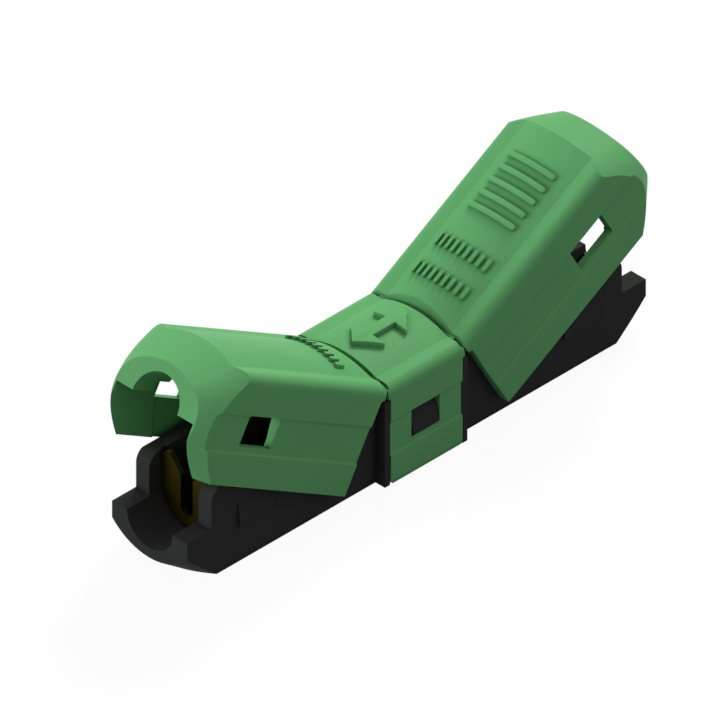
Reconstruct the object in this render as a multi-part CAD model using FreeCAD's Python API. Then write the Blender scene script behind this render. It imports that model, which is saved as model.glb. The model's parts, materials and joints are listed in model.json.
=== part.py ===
import FreeCAD, Part
import math
import os

# An inline connector for two insulated wires, in millimetres. A tray holds a stamped contact strip,
# and a cover moulding snaps over it. The cover's centre cap stays put, and its two end lids swing on
# living hinges, from open as supplied down onto the wires.
# +X runs along the wires, +Z is up, and the origin is the middle of the tray's underside.

V = FreeCAD.Vector

# Wire channel
bore_radius = 2.25            # half-round groove for the largest wire
groove_floor = 1.78           # material under the groove
trough_step = 0.19            # how far the trough's walls stand back from the groove's edge
trough_floor = 1.4
groove_length = 3.64          # groove at each end, from the end face to the trough

# Tray
total_length = 45.4
wall_thickness = 1.29
wall_rise = 3.25              # side walls above the wire axis
wall_edge_radius = 0.25       # outer top edge of the side walls
wall_nose_radius = 1.12       # front top corner of the side walls
entry_ledge = 2.38            # open ledge in front of the side walls
tray_cone_lift = 1.99         # axis of each end's trimming cone, above the wire axis
tray_cone_radius = 5.04       # at the end face
tray_cone_angle = 35.0
rib_thickness = 0.52
rib_inset = 0.07              # rib's outer edge inside the cover's side
rib_drop = 0.08               # rib's top below the side walls

# Cover section, the same for the cap and the lids
skirt_clearance = 0.05
skirt_thickness = 0.96
roof_thickness = 1.19
shoulder_radius = 0.84
crown_rise = 0.7
crown_radius = 7.7
hollow_corner_radius = 0.25
band_low = 2.62               # shallow band along each skirt
band_height = 2.6
band_depth = 0.13
band_slope = 0.2              # height of the slope along each edge of the band
window_low = 3.0
window_height = 2.4

# Centre cap
cap_length = 7.07
cap_foot_gap = 0.08
cap_corner_radius = 0.25      # lower corners of the cap's skirts
cap_seat_gap = 0.02           # cap's ceiling above the side walls
cap_end_gap = 0.03            # cap's ends to the tray's ribs
cap_window_length = 2.8
insert_setback = 0.235        # insert's ends inside the cap's ends
stop_thickness = 1.0          # web between the two wire ends

# End lids
hinge_drop = 0.36             # hinge axis below the shoulder
hinge_reach = 0.25            # hinge axis beyond the cap's end
film_thickness = 0.35
film_gap = 0.02               # between the two halves of the film
tab_gap = 0.025               # each side tab to the hinge axis
tab_lift = 0.105              # side tabs above the tray's side walls
notch_angle = 46.0            # cut-back of each lid's rear edge, from upright
open_angle = 30.0
lid_foot_gap = 0.05
lid_roof_clearance = 0.17
rear_gap = 0.05               # skirt's rear edge to the rib
rear_corner_radius = 0.25
lid_window_length = 3.57
lid_window_setback = 6.64     # window's middle to the end face
end_wall_gap = 0.09
ledge_gap = 0.03
lid_hole_radius = 2.22
side_cone_radius = 3.955      # at the end face, about the wire axis
side_cone_angle = 34.5
crown_end_drop = 2.1          # how far the crown has come down at the end face
crown_cone_angle = 40.4
trim_reach = 5.0              # how far back the end's trimming goes
trim_blend = 3.6              # radius where its two cones run into each other
pusher_clearance = 0.06       # pusher to the trough's walls
pusher_tail = 1.8             # pusher behind the inner blade
pusher_lift = 0.87            # pusher's lower edge above the wire axis

# Latch lugs on the tray
lug_end_gap = 0.12            # to the ends of its window
lug_foot_gap = 0.1
lug_head_gap = 0.06
lug_upright = 0.55            # upright part of the lug's face, above its foot
cap_lug_reach = 0.92
cap_lug_head_reach = 0.26
lid_lug_reach = 0.25
lug_path_gap = 0.07           # lug's ends and foot to the path cut for it in the lid's skirts
lug_path_depth_gap = 0.03     # lug's face to the bottom of that path
lug_path_turn = 90.0          # arc of that path, from level down to upright

# Contact strip
metal = 0.4
strip_clearance = 0.06        # strip's edges to the trough's walls
blade_drop = 0.03             # blade tips below the side walls
outer_blade_width = 5.1
inner_blade_width = 3.6
blade_pitch = 7.63            # inner blade to outer blade
lance_gap = 0.04
blade_seat_gap = 0.03
bend_radius = 0.18
slot_width = 1.2
slot_lift = 1.0               # slot's foot above the strip
lead_in_width = 3.3
lead_in_depth = 1.3
tip_chamfer = 0.3
blade_gap = 0.15              # pusher to the blades

# Worked out from the sizes above
half_length = total_length / 2
wire_height = groove_floor + bore_radius
wall_top = wire_height + wall_rise
wall_front = half_length - entry_ledge
trough_width = 2 * (bore_radius + trough_step)
trough_end = half_length - groove_length
tray_width = trough_width + 2 * wall_thickness
inner_width = tray_width + 2 * skirt_clearance
cover_width = inner_width + 2 * skirt_thickness
shoulder_height = wall_top + roof_thickness
crown_height = shoulder_height + crown_rise
crown_centre = crown_height - crown_radius
window_high = window_low + window_height
lug_foot = window_low + lug_foot_gap
lug_head = window_high - lug_head_gap
cap_end = cap_length / 2
rib_inner = cap_end + cap_end_gap
rib_outer = rib_inner + rib_thickness
hinge_x = cap_end + hinge_reach
hinge_height = shoulder_height - hinge_drop
tab_low = wall_top + tab_lift
lid_window_place = half_length - lid_window_setback
strip_top = trough_floor + metal
strip_width = trough_width - 2 * strip_clearance
outer_blade_place = trough_end - blade_seat_gap - metal
inner_blade_place = outer_blade_place - blade_pitch
blade_top = wall_top - blade_drop
pusher_width = trough_width - 2 * pusher_clearance
pusher_start = inner_blade_place - pusher_tail
pusher_foot = wire_height + pusher_lift
crown_cone_radius = crown_radius - crown_end_drop
margin = 1.0                  # how far a cutting tool runs past the material


def box(x0, x1, y0, y1, z0, z1):
    return Part.makeBox(x1 - x0, y1 - y0, z1 - z0, V(x0, y0, z0))


def rod(radius, x0, x1, height):
    return Part.makeCylinder(radius, x1 - x0, V(x0, 0, height), V(1, 0, 0))


def in_yz(x):
    return lambda u, v: V(x, u, v)


def in_xz(y):
    return lambda u, v: V(u, y, v)


def in_xy(z):
    return lambda u, v: V(u, v, z)


def line(start, end):
    return Part.LineSegment(start, end).toShape()


def rounded_face(corners, place):
    # A face through corners (u, v, radius), each rounded by its radius.
    count = len(corners)
    stops = []
    for i in range(count):
        here = V(corners[i][0], corners[i][1], 0)
        back = (V(corners[i - 1][0], corners[i - 1][1], 0) - here).normalize()
        ahead = (V(corners[(i + 1) % count][0], corners[(i + 1) % count][1], 0) - here).normalize()
        radius = corners[i][2]
        half = back.getAngle(ahead) / 2
        inward = (back + ahead).normalize() if radius else V(0, 0, 0)
        run = radius / math.tan(half) if radius else 0
        middle = here + inward * (radius / math.sin(half) - radius) if radius else here
        stops.append((here + back * run, middle, here + ahead * run, radius))
    edges = []
    for i in range(count):
        first, middle, last, radius = stops[i]
        if radius:
            points = [place(p.x, p.y) for p in (first, middle, last)]
            edges.append(Part.Arc(*points).toShape())
        following = stops[(i + 1) % count][0]
        edges.append(line(place(last.x, last.y), place(following.x, following.y)))
    return Part.Face(Part.Wire(edges))


def both_sides(shape):
    # The shape and its mirror image in the XZ plane.
    return shape.fuse(shape.mirror(V(0, 0, 0), V(0, 1, 0)))


def both_ends(shape):
    # The shape and its mirror image in the YZ plane.
    return shape.fuse(shape.mirror(V(0, 0, 0), V(1, 0, 0)))


def end_cone(radius, angle, height, reach):
    # Solid cone that narrows to the far end face.
    widest = radius + reach * math.tan(math.radians(angle))
    return Part.makeCone(widest, radius, reach, V(half_length - reach, 0, height), V(1, 0, 0))


def everything_but(kept, reach):
    # What is trimmed off the far end to leave only the kept shape.
    side = total_length
    return box(half_length - reach, half_length + margin, -side, side, -side, side).cut(kept)


def tray_trim():
    height = wire_height + tray_cone_lift
    return everything_but(end_cone(tray_cone_radius, tray_cone_angle, height, half_length), half_length)


def lid_trim():
    # Two cones, one about the wire and one about the crown's centre, blended where they meet.
    kept = end_cone(side_cone_radius, side_cone_angle, wire_height, trim_reach)
    kept = kept.common(end_cone(crown_cone_radius, crown_cone_angle, crown_centre, trim_reach)).Solids[0]
    creases = [edge for edge in kept.Edges if isinstance(edge.Curve, Part.BSplineCurve)]
    return everything_but(kept.makeFillet(trim_blend, creases), trim_reach)


def cover_block(x0, x1, foot):
    # Solid length of the cover's outer section, from its foot to the crown.
    side = cover_width / 2
    shoulder = side - shoulder_radius
    turn = shoulder_radius * math.sqrt(0.5)
    arch = math.sqrt(crown_radius ** 2 - (shoulder_height - crown_centre) ** 2)
    at = in_yz(x0)
    fillet_height = shoulder_height - shoulder_radius
    edges = [
        line(at(side, foot), at(side, fillet_height)),
        Part.Arc(at(side, fillet_height), at(shoulder + turn, fillet_height + turn),
                 at(shoulder, shoulder_height)).toShape(),
        line(at(shoulder, shoulder_height), at(arch, shoulder_height)),
        Part.Arc(at(arch, shoulder_height), at(0, crown_height), at(-arch, shoulder_height)).toShape(),
        line(at(-arch, shoulder_height), at(-shoulder, shoulder_height)),
        Part.Arc(at(-shoulder, shoulder_height), at(-shoulder - turn, fillet_height + turn),
                 at(-side, fillet_height)).toShape(),
        line(at(-side, fillet_height), at(-side, foot)),
        line(at(-side, foot), at(side, foot)),
    ]
    return Part.Face(Part.Wire(edges)).extrude(V(x1 - x0, 0, 0))


def cover_hollow(x0, x1, ceiling, corner_radius):
    # Room inside the skirts for the tray.
    side = inner_width / 2
    corners = [(-side, -margin, 0), (side, -margin, 0),
               (side, ceiling, corner_radius), (-side, ceiling, corner_radius)]
    return rounded_face(corners, in_yz(x0)).extrude(V(x1 - x0, 0, 0))


def side_bands(x0, x1):
    # Shallow band with sloping edges, sunk into the outside of both skirts.
    side = cover_width / 2
    foot = band_low - band_slope
    high = band_low + band_height
    head = high + band_slope
    corners = [(side, foot, 0), (side + margin, foot, 0), (side + margin, head, 0),
               (side, head, 0), (side - band_depth, high, 0), (side - band_depth, band_low, 0)]
    return both_sides(rounded_face(corners, in_yz(x0)).extrude(V(x1 - x0, 0, 0)))


def window(centre, length):
    side = cover_width / 2 + margin
    return box(centre - length / 2, centre + length / 2, -side, side, window_low, window_high)


def latch_lug(centre, window_length, reach, head_reach):
    # Wedge with a sloping head and a flat foot that catches in a window of the cover.
    root = tray_width / 2
    length = window_length - 2 * lug_end_gap
    corners = [(root - margin, lug_foot, 0), (root + reach, lug_foot, 0),
               (root + reach, lug_foot + lug_upright, 0),
               (root + head_reach, lug_head, 0), (root - margin, lug_head, 0)]
    start = centre - length / 2
    return both_sides(rounded_face(corners, in_yz(start)).extrude(V(length, 0, 0)))


def side_walls():
    # Two upstanding walls with rounded front corners and eased outer edges.
    side = tray_width / 2
    seen_from_side = [(-wall_front, 0, 0), (wall_front, 0, 0),
                      (wall_front, wall_top, wall_nose_radius), (-wall_front, wall_top, wall_nose_radius)]
    long_way = rounded_face(seen_from_side, in_xz(-side)).extrude(V(0, tray_width, 0))
    seen_from_end = [(-side, 0, 0), (side, 0, 0),
                     (side, wall_top, wall_edge_radius), (-side, wall_top, wall_edge_radius)]
    across = rounded_face(seen_from_end, in_yz(-half_length)).extrude(V(total_length, 0, 0))
    return long_way.common(across)


def blade_slots():
    # Grooves in the side walls that the outer blades drop into.
    half_width = outer_blade_width / 2 + blade_seat_gap
    slot = box(outer_blade_place - blade_seat_gap, trough_end, -half_width, half_width,
               strip_top, wall_top + margin)
    return both_ends(slot)


def base_tray():
    side = tray_width / 2
    body = box(-half_length, half_length, -side, side, 0, wire_height).fuse(side_walls())
    groove_room = box(-half_length, half_length, -trough_width / 2, trough_width / 2,
                      wire_height, wall_top + margin)
    body = body.cut(groove_room)
    body = body.cut(rod(bore_radius, -half_length - margin, half_length + margin, wire_height))
    body = body.cut(box(-trough_end, trough_end, -trough_width / 2, trough_width / 2,
                        trough_floor, wire_height + margin))
    body = body.cut(blade_slots())
    rib = box(rib_inner, rib_outer, side - wall_thickness / 2, cover_width / 2 - rib_inset,
              0, wall_top - rib_drop)
    body = body.fuse(both_ends(both_sides(rib)))
    body = body.fuse(latch_lug(0, cap_window_length, cap_lug_reach, cap_lug_head_reach))
    body = body.fuse(both_ends(latch_lug(lid_window_place, lid_window_length, lid_lug_reach, 0)))
    return body.cut(both_ends(tray_trim())).removeSplitter()


def upright(place, width):
    # A blade bent up out of the strip, with its tips eased.
    outer = bend_radius + metal
    bend = [(place - outer, trough_floor, 0), (place + metal, trough_floor, outer),
            (place + metal, blade_top, 0), (place, blade_top, 0),
            (place, strip_top, bend_radius), (place - outer, strip_top, 0)]
    plate = rounded_face(bend, in_xz(-width / 2)).extrude(V(0, width, 0))
    half_width = width / 2
    lead = lead_in_width / 2
    tip = min(tip_chamfer, (half_width - lead) / 2)
    front = [(-half_width, trough_floor, 0), (half_width, trough_floor, 0),
             (half_width, blade_top - tip, 0), (half_width - tip, blade_top, 0),
             (tip - half_width, blade_top, 0), (-half_width, blade_top - tip, 0)]
    return plate.common(rounded_face(front, in_yz(place - outer)).extrude(V(outer + metal, 0, 0)))


def wire_slot():
    # Slot that cuts through the insulation, with a round foot and a lead-in at its mouth.
    half = slot_width / 2
    slope = (lead_in_width / 2 - half) / lead_in_depth
    mouth = half + slope * (lead_in_depth + margin)
    throat = blade_top - lead_in_depth
    foot = strip_top + slot_lift + half
    corners = [(-half, foot, 0), (half, foot, 0), (half, throat, 0),
               (mouth, blade_top + margin, 0), (-mouth, blade_top + margin, 0), (-half, throat, 0)]
    slot = rounded_face(corners, in_yz(-half_length)).extrude(V(total_length, 0, 0))
    return slot.fuse(rod(half, -half_length, half_length, foot))


def contact_strip():
    root = bend_radius + metal
    strip = box(-outer_blade_place, outer_blade_place, -strip_width / 2, strip_width / 2,
                trough_floor, strip_top)
    strip = strip.cut(both_ends(box(outer_blade_place - root, outer_blade_place,
                                    -strip_width, strip_width, 0, strip_top + margin)))
    blade_height = blade_top - strip_top
    window_width = inner_blade_width / 2 + lance_gap
    lance = box(inner_blade_place - root, inner_blade_place + metal + blade_height,
                -window_width, window_width, 0, strip_top + margin)
    inner = upright(inner_blade_place, inner_blade_width)
    tongue_width = inner_blade_width / 2
    tongue = box(inner_blade_place - root - metal, inner_blade_place - root,
                 -tongue_width, tongue_width, trough_floor, strip_top)
    outer = upright(outer_blade_place, strip_width)
    wing_foot = strip_top + root
    wings = box(outer_blade_place, outer_blade_place + metal, -outer_blade_width / 2, outer_blade_width / 2,
                wing_foot, blade_top - tip_chamfer)
    strip = strip.cut(both_ends(lance)).fuse(both_ends(inner.fuse(tongue)))
    strip = strip.fuse(both_ends(outer.fuse(wings)))
    return strip.cut(wire_slot()).removeSplitter()


def centre_cap():
    side = cover_width / 2
    ceiling = wall_top + cap_seat_gap
    seen_from_side = [(-cap_end, cap_foot_gap, cap_corner_radius), (cap_end, cap_foot_gap, cap_corner_radius),
                      (cap_end, crown_height + margin, 0), (-cap_end, crown_height + margin, 0)]
    outline = rounded_face(seen_from_side, in_xz(-side)).extrude(V(0, cover_width, 0))
    body = cover_block(-cap_end, cap_end, cap_foot_gap).common(outline)
    body = body.cut(cover_hollow(-cap_end - margin, cap_end + margin, ceiling, hollow_corner_radius))
    body = body.cut(side_bands(-cap_end - margin, cap_end + margin))
    body = body.cut(window(0, cap_window_length))
    insert_end = cap_end - insert_setback
    insert = box(-insert_end, insert_end, -pusher_width / 2, pusher_width / 2,
                 pusher_foot, ceiling + film_thickness)
    body = body.fuse(insert).cut(rod(bore_radius, -cap_end, cap_end, wire_height))
    stop = box(-stop_thickness / 2, stop_thickness / 2, -pusher_width / 2, pusher_width / 2,
               strip_top + strip_clearance, ceiling + film_thickness)
    body = body.fuse(stop)
    film_half = film_thickness / 2
    film = box(cap_end - film_thickness, hinge_x, -inner_width / 2, inner_width / 2,
               hinge_height - film_half, hinge_height + film_half)
    nose = Part.makeCylinder(film_half, inner_width, V(hinge_x, -inner_width / 2, hinge_height), V(0, 1, 0))
    tab_start = cap_end - film_thickness
    tab_room = both_sides(box(tab_start, hinge_x - tab_gap, inner_width / 2 + skirt_clearance,
                              side + margin, tab_low, hinge_height))
    tabs = cover_block(tab_start, hinge_x, cap_foot_gap).common(tab_room)
    return body.fuse(both_ends(film.fuse(nose).fuse(tabs))).removeSplitter()


def lug_path():
    # Path that the tray's lugs take inside the lid's skirts as the lid swings about its hinge.
    half_lug = lid_window_length / 2 - lug_end_gap
    near = lid_window_place - half_lug - hinge_x
    far = lid_window_place + half_lug - hinge_x
    to_head = math.hypot(near, hinge_height - lug_head) - lug_path_gap
    to_upright = math.hypot(near, hinge_height - lug_foot - lug_upright) - lug_path_gap
    to_foot = math.hypot(far, hinge_height - lug_foot) + lug_path_gap
    root = tray_width / 2
    shallow = root + lug_path_depth_gap
    deep = shallow + lid_lug_reach
    corners = [(hinge_x + to_head, root, 0), (hinge_x + to_foot, root, 0), (hinge_x + to_foot, deep, 0),
               (hinge_x + to_upright, deep, 0), (hinge_x + to_head, shallow, 0)]
    section = rounded_face(corners, in_xy(hinge_height))
    swept = both_sides(section.revolve(V(hinge_x, 0, hinge_height), V(0, 1, 0), lug_path_turn))
    below = box(hinge_x, lid_window_place + lid_window_length / 2, -deep, deep, -margin, window_high)
    below = below.fuse(box(hinge_x, half_length, -deep, deep, -margin, window_low))
    return swept.common(below)


def blade_room(place):
    # Slot in the pusher that clears a blade, widened for the lid's swing.
    drop = hinge_height - pusher_foot
    reach = math.hypot(place - hinge_x, hinge_height - blade_top)
    travel = place - hinge_x - math.sqrt(reach ** 2 - drop ** 2)
    half_width = trough_width / 2
    return box(place - travel - blade_gap, place + metal + blade_gap, -half_width, half_width,
               0, wall_top + lid_roof_clearance)


def rear_cuts():
    # Everything at the lid's rear that makes way for the hinge, the rib and the open position.
    side = cover_width / 2 + margin
    film_face = hinge_x + film_thickness / 2 + film_gap
    film_room = box(0, film_face, -inner_width / 2 - skirt_clearance, inner_width / 2 + skirt_clearance,
                    -margin, crown_height + margin)
    skirt_rear = rib_outer + rear_gap
    skirt_corners = [(0, -margin, 0), (skirt_rear, -margin, 0),
                     (skirt_rear, tab_low, rear_corner_radius), (0, tab_low, 0)]
    skirt_room = rounded_face(skirt_corners, in_xz(-side)).extrude(V(0, 2 * side, 0))
    rise = crown_height + margin - hinge_height
    lean = rise * math.tan(math.radians(notch_angle))
    notch_corners = [(hinge_x, hinge_height, 0), (hinge_x + lean, hinge_height + rise, 0),
                     (0, hinge_height + rise, 0), (0, hinge_height, 0)]
    notch = rounded_face(notch_corners, in_xz(-side)).extrude(V(0, 2 * side, 0))
    return film_room.fuse(skirt_room).fuse(notch)


def closed_lid():
    # The far lid as it lies shut on the tray.
    ceiling = wall_top + lid_roof_clearance
    body = cover_block(hinge_x + tab_gap, half_length, lid_foot_gap)
    body = body.cut(cover_hollow(0, wall_front + end_wall_gap, ceiling, hollow_corner_radius))
    body = body.cut(cover_hollow(0, half_length + margin, wire_height + ledge_gap, 0))
    body = body.cut(side_bands(0, half_length + margin))
    body = body.cut(window(lid_window_place, lid_window_length))
    body = body.cut(lug_path())
    pusher = box(pusher_start, wall_front + end_wall_gap + film_thickness, -pusher_width / 2,
                 pusher_width / 2, pusher_foot, ceiling + film_thickness)
    pusher = pusher.cut(blade_room(inner_blade_place)).cut(blade_room(outer_blade_place))
    body = body.fuse(pusher)
    body = body.cut(rod(lid_hole_radius, pusher_start - margin, half_length + margin, wire_height))
    return body.cut(lid_trim()).cut(rear_cuts()).removeSplitter()


def opened(lid, angle):
    # The far lid turned up about its hinge.
    turned = lid.copy()
    turned.rotate(V(hinge_x, 0, hinge_height), V(0, -1, 0), angle)
    return turned


def save(name, shape):
    solids = shape.Solids
    print(name, "solids", len(solids), "volume", round(shape.Volume, 3), "valid", shape.isValid())
    single = solids[0] if len(solids) == 1 else Part.makeCompound(solids)
    single.exportStep(os.path.join("parts", name + ".step"))


os.makedirs("parts", exist_ok=True)
far_lid = opened(closed_lid(), open_angle)
save("base_tray", base_tray())
save("contact_strip", contact_strip())
save("centre_cap", centre_cap())
save("far_lid", far_lid)
save("near_lid", far_lid.mirror(V(0, 0, 0), V(1, 0, 0)))
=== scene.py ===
import bpy
import bmesh
import json
import math
from mathutils import Matrix, Vector

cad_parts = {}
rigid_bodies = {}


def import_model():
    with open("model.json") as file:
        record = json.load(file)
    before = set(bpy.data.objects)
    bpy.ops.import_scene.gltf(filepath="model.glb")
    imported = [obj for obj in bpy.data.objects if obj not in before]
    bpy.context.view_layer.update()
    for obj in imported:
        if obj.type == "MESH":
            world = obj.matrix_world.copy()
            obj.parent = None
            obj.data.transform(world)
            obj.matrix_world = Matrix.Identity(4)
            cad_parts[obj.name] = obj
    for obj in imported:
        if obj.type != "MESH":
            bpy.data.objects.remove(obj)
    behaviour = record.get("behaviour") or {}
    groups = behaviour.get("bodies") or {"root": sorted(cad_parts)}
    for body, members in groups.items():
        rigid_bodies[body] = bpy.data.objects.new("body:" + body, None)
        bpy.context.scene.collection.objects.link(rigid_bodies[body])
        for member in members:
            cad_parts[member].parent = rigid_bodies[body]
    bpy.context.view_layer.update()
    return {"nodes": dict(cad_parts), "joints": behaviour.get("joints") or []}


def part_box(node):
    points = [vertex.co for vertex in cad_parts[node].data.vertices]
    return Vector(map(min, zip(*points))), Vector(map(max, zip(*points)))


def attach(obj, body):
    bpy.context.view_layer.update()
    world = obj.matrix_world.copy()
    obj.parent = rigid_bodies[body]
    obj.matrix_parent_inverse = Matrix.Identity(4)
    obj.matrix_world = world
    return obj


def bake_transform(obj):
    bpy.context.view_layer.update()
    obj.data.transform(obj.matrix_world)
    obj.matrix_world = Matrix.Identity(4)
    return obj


for leftover in list(bpy.data.objects):  # what a new Blender file holds
    bpy.data.objects.remove(leftover)
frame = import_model()
nodes = frame["nodes"]
print("frame loaded:", len(nodes), "nodes")

mm = 0.001


class Signal:
    # one output of a node, with arithmetic that adds Math nodes
    def __init__(self, sheet, socket):
        self.sheet = sheet
        self.socket = socket

    def combine(self, operation, first, second):
        return self.sheet.add("Math", {"operation": operation}, {0: first, 1: second})

    def __add__(self, other):
        return self.combine("ADD", self, other)

    def __radd__(self, other):
        return self.combine("ADD", other, self)

    def __sub__(self, other):
        return self.combine("SUBTRACT", self, other)

    def __rsub__(self, other):
        return self.combine("SUBTRACT", other, self)

    def __mul__(self, other):
        return self.combine("MULTIPLY", self, other)

    def __rmul__(self, other):
        return self.combine("MULTIPLY", other, self)

    def capped(self):
        return self.sheet.add("Clamp", None, {"Value": self})


class Sheet:
    # the node sheet of one material or world
    def __init__(self, owner):
        owner.use_nodes = True
        self.owner = owner
        self.tree = owner.node_tree
        self.tree.nodes.clear()

    def add(self, kind, settings=None, values=None, out=0):
        node = self.tree.nodes.new("ShaderNode" + kind)
        for setting, value in (settings or {}).items():
            setattr(node, setting, value)
        for key, value in (values or {}).items():
            socket = self.findSocket(node, key)
            if isinstance(value, Signal):
                self.tree.links.new(value.socket, socket)
            else:
                socket.default_value = value
        enabled = [s for s in node.outputs if s.enabled]
        if isinstance(out, str):
            return Signal(self, next(s for s in enabled if s.name == out))
        return Signal(self, enabled[out]) if enabled else node

    @staticmethod
    def findSocket(node, key):
        if isinstance(key, int):
            return node.inputs[key]
        return next(s for s in node.inputs if s.name == key and s.enabled)

    def mixColour(self, share, first, second):
        return self.add("Mix", {"data_type": "RGBA"}, {"Factor": share, "A": first, "B": second})

    def noise(self, pattern):
        # noise at so many blots a millimetre in the piece's own frame, so that nothing slides
        place = self.add("TexCoord", None, None, out="Object")
        scale = [along / mm for along in pattern.get("stretch", (1, 1, 1))]
        stretched = self.add("VectorMath", {"operation": "MULTIPLY"}, {0: place, 1: scale})
        return self.add("TexNoise", None, {
            "Vector": stretched, "Scale": pattern["scale"], "Detail": pattern["detail"],
            "Roughness": pattern["roughness"]})


def colour(red, green, blue):
    # a colour as read from a screen, 0 to 255, as the linear values that Blender takes
    linear = []
    for tone in (red, green, blue):
        share = tone / 255
        linear.append(share / 12.92 if share <= 0.04045 else ((share + 0.055) / 1.055) ** 2.4)
    return (*linear, 1)


view = {
    "middle": (-0.939, 0.939, 6.592),    # what the picture's middle looks at, in millimetres
    "along": (1, 1, -1),
    "width": 50.4,
    "distance": 300,
    "nearest": 10,
    "farthest": 10000,
}

studio = {
    "lamps": {                       # where from, strength, colour, softness in degrees across
        "key lamp": ((0.70, 0.30, 0.70), 2.15, (0.92, 1.0, 0.88), 24),
        "left lamp": ((-0.90, 0.32, 0.12), 1.99, (0.93, 1.0, 0.96), 40),
        "front lamp": ((0.30, -0.80, 0.90), 0.10, (1.0, 1.0, 1.0), 60),
    },
    "fill": 0.44,                    # the room's even light
    "fillColour": (1.0, 0.95, 1.0, 1),
    "white": (1, 1, 1, 1),
    "floorColour": (0.14, 0.14, 0.14, 1),
    "floorSize": 3000,
    "floorGap": 0.02,                # below the tray's underside, in millimetres
    "floorWhite": 0.94,              # how far the seen floor goes to white paper
}


def addToScene(thing):
    bpy.context.scene.collection.objects.link(thing)
    return thing


def makeCamera():
    data = bpy.data.cameras.new("camera")
    data.type = "ORTHO"
    data.ortho_scale = view["width"] * mm
    data.clip_start = view["nearest"] * mm
    data.clip_end = view["farthest"] * mm
    camera = addToScene(bpy.data.objects.new("camera", data))
    along = Vector(view["along"]).normalized()
    camera.location = (Vector(view["middle"]) - along * view["distance"]) * mm
    camera.rotation_mode = "QUATERNION"
    camera.rotation_quaternion = along.to_track_quat("-Z", "Y")
    bpy.context.scene.camera = camera


def makeLamps():
    for name, (source, strength, tint, softness) in studio["lamps"].items():
        data = bpy.data.lights.new(name, "SUN")
        data.energy = strength
        data.color = tint
        data.angle = math.radians(softness)
        lamp = addToScene(bpy.data.objects.new(name, data))
        lamp.rotation_mode = "QUATERNION"
        lamp.rotation_quaternion = (-Vector(source)).to_track_quat("-Z", "Y")


def seenDirectly(sheet):
    # 1 for rays from the eye, off gloss or through glass, 0 for the light that surfaces swap
    path = sheet.add("LightPath", None, None, out="Is Camera Ray").socket.node
    rays = [Signal(sheet, path.outputs[name]) for name in
            ("Is Camera Ray", "Is Glossy Ray", "Is Transmission Ray")]
    return (rays[0] + rays[1] + rays[2]).capped()


def makeRoom():
    world = bpy.data.worlds.new("room")
    bpy.context.scene.world = world
    sheet = Sheet(world)
    seen = seenDirectly(sheet)
    strength = studio["fill"] + seen * (1 - studio["fill"])
    air = sheet.mixColour(seen, studio["fillColour"], studio["white"])
    back = sheet.add("Background", None, {"Color": air, "Strength": strength})
    sheet.add("OutputWorld", None, {"Surface": back})


def makeFloor():
    mesh = bpy.data.meshes.new("floor")
    half = studio["floorSize"] * mm / 2
    corners = [(-half, -half, 0), (half, -half, 0), (half, half, 0), (-half, half, 0)]
    mesh.from_pydata(corners, [], [(0, 1, 2, 3)])
    floor = addToScene(bpy.data.objects.new("floor", mesh))
    floor.location.z = -studio["floorGap"] * mm
    sheet = Sheet(bpy.data.materials.new("pale floor"))
    seen = seenDirectly(sheet)
    paper = sheet.mixColour(seen, studio["floorColour"], studio["white"])
    matt = sheet.add("BsdfDiffuse", None, {"Color": paper})
    glow = sheet.add("Emission", None, {"Color": studio["white"], "Strength": 1.0})
    mixed = sheet.add("MixShader", None, {0: seen * studio["floorWhite"], 1: matt, 2: glow})
    sheet.add("OutputMaterial", None, {"Surface": mixed})
    mesh.materials.append(sheet.owner)


makeCamera()
makeLamps()
makeRoom()
makeFloor()
bpy.context.scene.view_settings.view_transform = "Standard"
print("camera, lamps, room and floor made")


moulding = {                             # the surface that both plastics share
    "flow": {"stretch": (0.35, 1, 1), "scale": 0.22, "detail": 2.0, "roughness": 0.55},
    "flowContrast": 1.6,                 # how sharply the denser flow stands out
    "flowCut": 0.3,                      # and how little of the surface it covers
    "speckle": {"scale": 9.0, "detail": 4.0, "roughness": 0.6},
    "speckleRoughness": 0.14,            # how much rougher or smoother the speckle makes it
    "grain": {"scale": 5.5, "detail": 5.0, "roughness": 0.62},
    "grainHeight": 0.030,                # in millimetres
    "grainStrength": 0.35,
    "edgeContrast": 3.0,
    "edgeWearAndHighlightTint": 0.15,                    # how far an edge goes to its lighter tone: painted highlight, partly thin plastic
    "edgeWearAndHighlightSpeckle": 0.3,                  # and how much further in the speckle
    "edgePolish": 0.06,                  # how much smoother it is
    "edgeSamples": 6,
    "paintedShadeReach": 0.6,                 # of the painted shade, from face to face across a crevice, in millimetres
    "paintedShadeSamples": 8,
}

coverPlastic = {
    "tone": colour(105, 176, 113),
    "deepTone": colour(100, 171, 108),   # where the melt flowed a little denser
    "edgeWearAndHighlightTone": colour(121, 192, 131),   # painted highlight along edges, partly where the plastic is thin
    "paintedShadeTone": colour(56, 110, 61),  # painted shade, in corners and slots
    "roughness": 0.46,
    "gloss": 0.04,
    "rounding": 0.06,                    # of its edges, in millimetres
}

markPlastic = {**coverPlastic, "rounding": 0.025}

trayPlastic = {
    "tone": colour(58, 59, 58),
    "deepTone": colour(53, 54, 53),
    # along edges: painted highlight, partly where the plastic is thin
    "edgeWearAndHighlightTone": colour(76, 77, 76),
    # painted shade in corners and slots
    "paintedShadeTone": colour(34, 34, 34),
    "roughness": 0.58,
    "gloss": 0.01,
    "rounding": 0.09,
}

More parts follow.
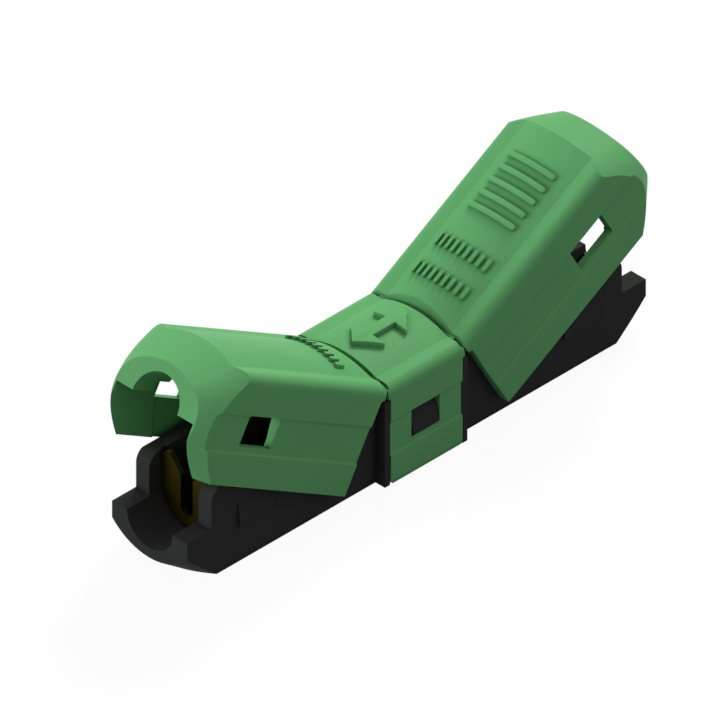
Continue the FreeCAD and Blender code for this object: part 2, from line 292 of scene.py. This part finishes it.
contactBrass = {
    # painted shade: the tone, and the tarnish tone with it, sit far below brass's own colour to stand
    # for the shade the strip lies in inside the tray; the tarnish cloud itself is the strip's own
    "tone": colour(68, 60, 17),
    "tarnishTone": colour(50, 44, 12),
    "tarnish": {"scale": 0.8, "detail": 4.0, "roughness": 0.6},
    "tarnishContrast": 2.2,              # how sharply the tarnish stands out
    "tarnishCut": 0.7,                   # and how little of the strip it covers
    "tarnishRoughness": 0.14,
    "rolled": {"stretch": (0.25, 9, 9), "scale": 1.4, "detail": 4.0, "roughness": 0.6},
    "rolledRoughness": 0.18,
    "rolledHeight": 0.012,               # of the rolling marks, in millimetres
    "rolledStrength": 0.4,
    "roughness": 0.42,
}


def edgeShare(sheet, rounding):
    # 1 on an edge and 0 on open faces, from how far a rounded surface leans off the true one
    rounded = sheet.add("Bevel", {"samples": moulding["edgeSamples"]}, {"Radius": rounding * mm})
    true = sheet.add("NewGeometry", None, None, out="Normal")
    lean = sheet.add("VectorMath", {"operation": "DOT_PRODUCT"}, {0: rounded, 1: true}, out="Value")
    return ((1 - lean) * moulding["edgeContrast"]).capped(), rounded


def paintedShadeShare(sheet):
    # painted shade: 1 deep in a corner or a slot and 0 on open faces
    openness = sheet.add("AmbientOcclusion", {"samples": moulding["paintedShadeSamples"]},
                         {"Distance": moulding["paintedShadeReach"] * mm}, out="AO")
    return (1 - openness).capped()


def mouldedPlastic(name, finish):
    sheet = Sheet(bpy.data.materials.new(name))
    flow = sheet.noise(moulding["flow"])
    dense = (flow * moulding["flowContrast"] - moulding["flowCut"]).capped()
    body = sheet.mixColour(dense, finish["tone"], finish["deepTone"])
    speckle = sheet.noise(moulding["speckle"])
    edge, rounded = edgeShare(sheet, finish["rounding"])
    # edges lightened: painted highlight, partly lighter thin plastic
    edgeWearAndHighlight = (edge * (moulding["edgeWearAndHighlightTint"] + speckle * moulding["edgeWearAndHighlightSpeckle"])).capped()
    body = sheet.mixColour(edgeWearAndHighlight, body, finish["edgeWearAndHighlightTone"])
    # painted shade in corners and slots, from ambient occlusion
    body = sheet.mixColour(paintedShadeShare(sheet), body, finish["paintedShadeTone"])
    rough = (finish["roughness"] + (speckle - 0.5) * moulding["speckleRoughness"]
             - edge * moulding["edgePolish"])
    relief = sheet.add("Bump", None, {
        "Strength": moulding["grainStrength"], "Distance": moulding["grainHeight"] * mm,
        "Height": sheet.noise(moulding["grain"]), "Normal": rounded})
    skin = sheet.add("BsdfPrincipled", None, {
        "Base Color": body, "Roughness": rough, "Normal": relief,
        "Specular IOR Level": finish["gloss"]})
    sheet.add("OutputMaterial", None, {"Surface": skin})
    return sheet.owner


def stampedBrass(name, finish):
    sheet = Sheet(bpy.data.materials.new(name))
    rolled = sheet.noise(finish["rolled"])
    tarnish = sheet.noise(finish["tarnish"])
    cloud = (tarnish * finish["tarnishContrast"] - finish["tarnishCut"]).capped()
    body = sheet.mixColour(cloud, finish["tone"], finish["tarnishTone"])
    rough = (finish["roughness"] + cloud * finish["tarnishRoughness"]
             + (rolled - 0.5) * finish["rolledRoughness"])
    relief = sheet.add("Bump", None, {
        "Strength": finish["rolledStrength"], "Distance": finish["rolledHeight"] * mm,
        "Height": rolled})
    skin = sheet.add("BsdfPrincipled", None, {
        "Base Color": body, "Roughness": rough, "Normal": relief, "Metallic": 1.0})
    sheet.add("OutputMaterial", None, {"Surface": skin})
    return sheet.owner


greenSkin = mouldedPlastic("green moulded plastic", coverPlastic)
markSkin = mouldedPlastic("green moulded plastic, raised", markPlastic)
blackSkin = mouldedPlastic("black moulded plastic", trayPlastic)
brassSkin = stampedBrass("stamped brass", contactBrass)
skins = {"base_tray": blackSkin, "contact_strip": brassSkin, "centre_cap": greenSkin,
         "near_lid": greenSkin, "far_lid": greenSkin}
for name, skin in skins.items():
    for materialSlot in nodes[name].material_slots:
        materialSlot.material = skin
print("finishes given to the frame's parts")


farHinge = next(joint for joint in frame["joints"] if joint["name"] == "far_lid_hinge")
hinge = {                                # the far side's, in millimetres; the near side mirrors it
    "place": [along / mm for along in farHinge["pos_m"]],
    "openAngle": -farHinge["range_deg"][0],
}

crown = {                                # the cover's curved top, in millimetres
    "radius": 7.7,
    "top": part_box("centre_cap")[1].z / mm,
}

raised = {                               # what all the raised marks share, in millimetres
    "root": 0.08,                        # how deep a mark goes into its moulding
    "ease": 0.02,                        # round along its top edge
    "easeSteps": 3,
    "bendStep": 0.35,                    # between the lines where it bends over the crown
    "endSteps": 5,                       # in each quarter of a round end
    "creaseAngle": 35,
}

tiny = 1e-4                              # places nearer than this, in millimetres, are one


def standing(side):
    # from a lid's place when shut to where it stands open; side is 1 for far and -1 for near
    place = Vector(hinge["place"])
    turn = (Matrix.Translation(place) @ Matrix.Rotation(math.radians(-hinge["openAngle"]), 4, "Y")
            @ Matrix.Translation(-place))
    return Matrix.Scale(side, 4, (1, 0, 0)) @ turn


def crownHeight(y):
    return crown["top"] - crown["radius"] + math.sqrt(crown["radius"] ** 2 - y * y)


def meshPiece(name, work, skin, creaseAngle):
    # the finished mesh as an object of the scene
    mesh = bpy.data.meshes.new(name)
    work.to_mesh(mesh)
    work.free()
    mesh.materials.append(skin)
    mesh.shade_smooth()
    mesh.set_sharp_from_angle(angle=math.radians(creaseAngle))
    return addToScene(bpy.data.objects.new(name, mesh))


def raiseOutline(work, outline, height):
    # one flat outline drawn up to its height, with its top edge eased
    face = work.faces.new([work.verts.new((x, y, 0)) for x, y in outline])
    face.normal_update()
    if face.normal.z < 0:
        face.normal_flip()
    drawn = bmesh.ops.extrude_face_region(work, geom=[face])["geom"]
    top = [part for part in drawn if isinstance(part, bmesh.types.BMVert)]
    for corner in top:
        corner.co.z = height
    rim = [part for part in drawn if isinstance(part, bmesh.types.BMEdge)
           and all(corner in top for corner in part.verts)]
    bmesh.ops.bevel(work, geom=rim, offset=raised["ease"], segments=raised["easeSteps"],
                    profile=0.5, affect="EDGES", clamp_overlap=True)


def bendOverCrown(work):
    # cuts the marks into narrow strips, then lays them on the crown with their feet rooted in it
    across = [corner.co.y for corner in work.verts]
    cuts = max(1, int((max(across) - min(across)) / raised["bendStep"]))
    for i in range(1, cuts):
        level = min(across) + (max(across) - min(across)) * i / cuts
        bmesh.ops.bisect_plane(work, geom=work.verts[:] + work.edges[:] + work.faces[:],
                               plane_co=(0, level, 0), plane_no=(0, 1, 0), dist=tiny / 10)
    for corner in work.verts:
        rise = corner.co.z if corner.co.z > tiny else -raised["root"]
        corner.co.z = crownHeight(corner.co.y) + rise


def raisedMark(name, outlines, height, body, place):
    # outlines raised off the crown as one piece of the moulding
    work = bmesh.new()
    for outline in outlines:
        raiseOutline(work, outline, height)
    bmesh.ops.recalc_face_normals(work, faces=work.faces)
    bendOverCrown(work)
    work.transform(Matrix.Scale(mm, 4) @ place)
    if place.determinant() < 0:
        bmesh.ops.reverse_faces(work, faces=work.faces)
    mark = meshPiece(name, work, markSkin, raised["creaseAngle"])
    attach(mark, body)


def roundedBar(x, y, along, across):
    # a bar with round ends: along the lid, and across it
    radius = min(along, across) / 2
    reachX, reachY = along / 2 - radius, across / 2 - radius
    points = []
    for quarter, (sideX, sideY) in enumerate(((1, 1), (-1, 1), (-1, -1), (1, -1))):
        for i in range(raised["endSteps"] + 1):
            angle = math.pi / 2 * (quarter + i / raised["endSteps"])
            point = (x + sideX * reachX + radius * math.cos(angle),
                     y + sideY * reachY + radius * math.sin(angle))
            if not points or math.dist(point, points[-1]) > tiny:
                points.append(point)
    return points[:-1] if math.dist(points[0], points[-1]) < tiny else points


# sizes and places in millimetres, from the middle of the part with its lids shut
gripBars = {"middle": 15.1, "pitch": 1.15, "count": 5, "length": 4.6, "width": 0.42, "height": 0.28}
ridges = {"farRows": (9.5, 6.95), "nearRows": (7.2,), "pitch": 0.6, "count": 9,
          "length": 1.05, "width": 0.3, "height": 0.27}
arrow = {"length": 5.4, "headLength": 1.6, "headWidth": 3.3, "shaftWidth": 0.95, "height": 0.4}


def barRow():
    first = gripBars["middle"] - gripBars["pitch"] * (gripBars["count"] - 1) / 2
    return [roundedBar(first + gripBars["pitch"] * i, 0, gripBars["width"], gripBars["length"])
            for i in range(gripBars["count"])]


def ridgeRows(places):
    half = (ridges["count"] - 1) / 2
    return [roundedBar(x, (i - half) * ridges["pitch"], ridges["length"], ridges["width"])
            for x in places for i in range(ridges["count"])]


def twoWayArrow():
    tip = arrow["length"] / 2
    neck = tip - arrow["headLength"]
    wide = arrow["headWidth"] / 2
    slim = arrow["shaftWidth"] / 2
    upper = [(tip, 0), (neck, wide), (neck, slim), (-neck, slim), (-neck, wide), (-tip, 0)]
    return [upper + [(x, -y) for x, y in reversed(upper[1:-1])]]


raisedMark("far_grip_bars", barRow(), gripBars["height"], "far_lid", standing(1))
raisedMark("far_grip_ridges", ridgeRows(ridges["farRows"]), ridges["height"], "far_lid", standing(1))
raisedMark("near_grip_ridges", ridgeRows(ridges["nearRows"]), ridges["height"], "near_lid", standing(-1))
raisedMark("cap_arrow", twoWayArrow(), arrow["height"], "base", Matrix.Identity(4))
print("raised marks made")


film = {                     # in millimetres from the hinge's axis, on the far side
    "width": 7.4,
    "thickness": 0.05,
    "start": 0.285,          # how far back it starts, just inside the cap's end face
    "bend": 0.02,            # how far back it turns up
    "rise": 0.19,            # of its underside, to lie on the cap's half of the hinge
    "lidReach": 0.36,        # how far up the lid's notch it runs
    "lidAngle": 44,          # of the notch's face when the lid is shut
    "steps": 10,
    "anchor": 0.1,           # ahead of its start
    "creaseAngle": 40,
}


def filmLine():
    # the film's middle line at rest, from the cap over the hinge and up the lid's notch
    axisX, _, axisZ = hinge["place"]
    lean = math.radians(film["lidAngle"] + hinge["openAngle"])
    lift = film["thickness"] / 2
    level = axisZ + film["rise"] + lift
    start = Vector((axisX - film["start"], 0, level))
    bend = Vector((axisX - film["bend"], 0, level))
    end = Vector((axisX + film["lidReach"] * math.cos(lean) - lift * math.sin(lean), 0,
                  axisZ + film["lidReach"] * math.sin(lean) + lift * math.cos(lean)))
    shares = [i / film["steps"] for i in range(film["steps"] + 1)]
    return [start * (1 - share) ** 2 + bend * 2 * share * (1 - share) + end * share ** 2
            for share in shares]


def hingeFilm(name, side):
    line = filmLine()
    half = film["width"] / 2
    work = bmesh.new()
    rows = []
    for i, point in enumerate(line):
        ahead = line[min(i + 1, len(line) - 1)] - line[max(i - 1, 0)]
        out = Vector((-ahead.z, 0, ahead.x)).normalized() * film["thickness"] / 2
        rows.append([work.verts.new((side * (point.x + s * out.x), y, point.z + s * out.z))
                     for s, y in ((1, -half), (1, half), (-1, half), (-1, -half))])
    for near, far in zip(rows, rows[1:]):
        for i in range(4):
            work.faces.new((near[i], near[(i + 1) % 4], far[(i + 1) % 4], far[i]))
    work.faces.new(rows[0])
    work.faces.new(rows[-1])
    bmesh.ops.recalc_face_normals(work, faces=work.faces)
    work.transform(Matrix.Scale(mm, 4))
    sheet = meshPiece(name, work, greenSkin, film["creaseAngle"])
    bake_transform(sheet)


hingeFilm("far_hinge_film", 1)
hingeFilm("near_hinge_film", -1)
print("hinge films made")
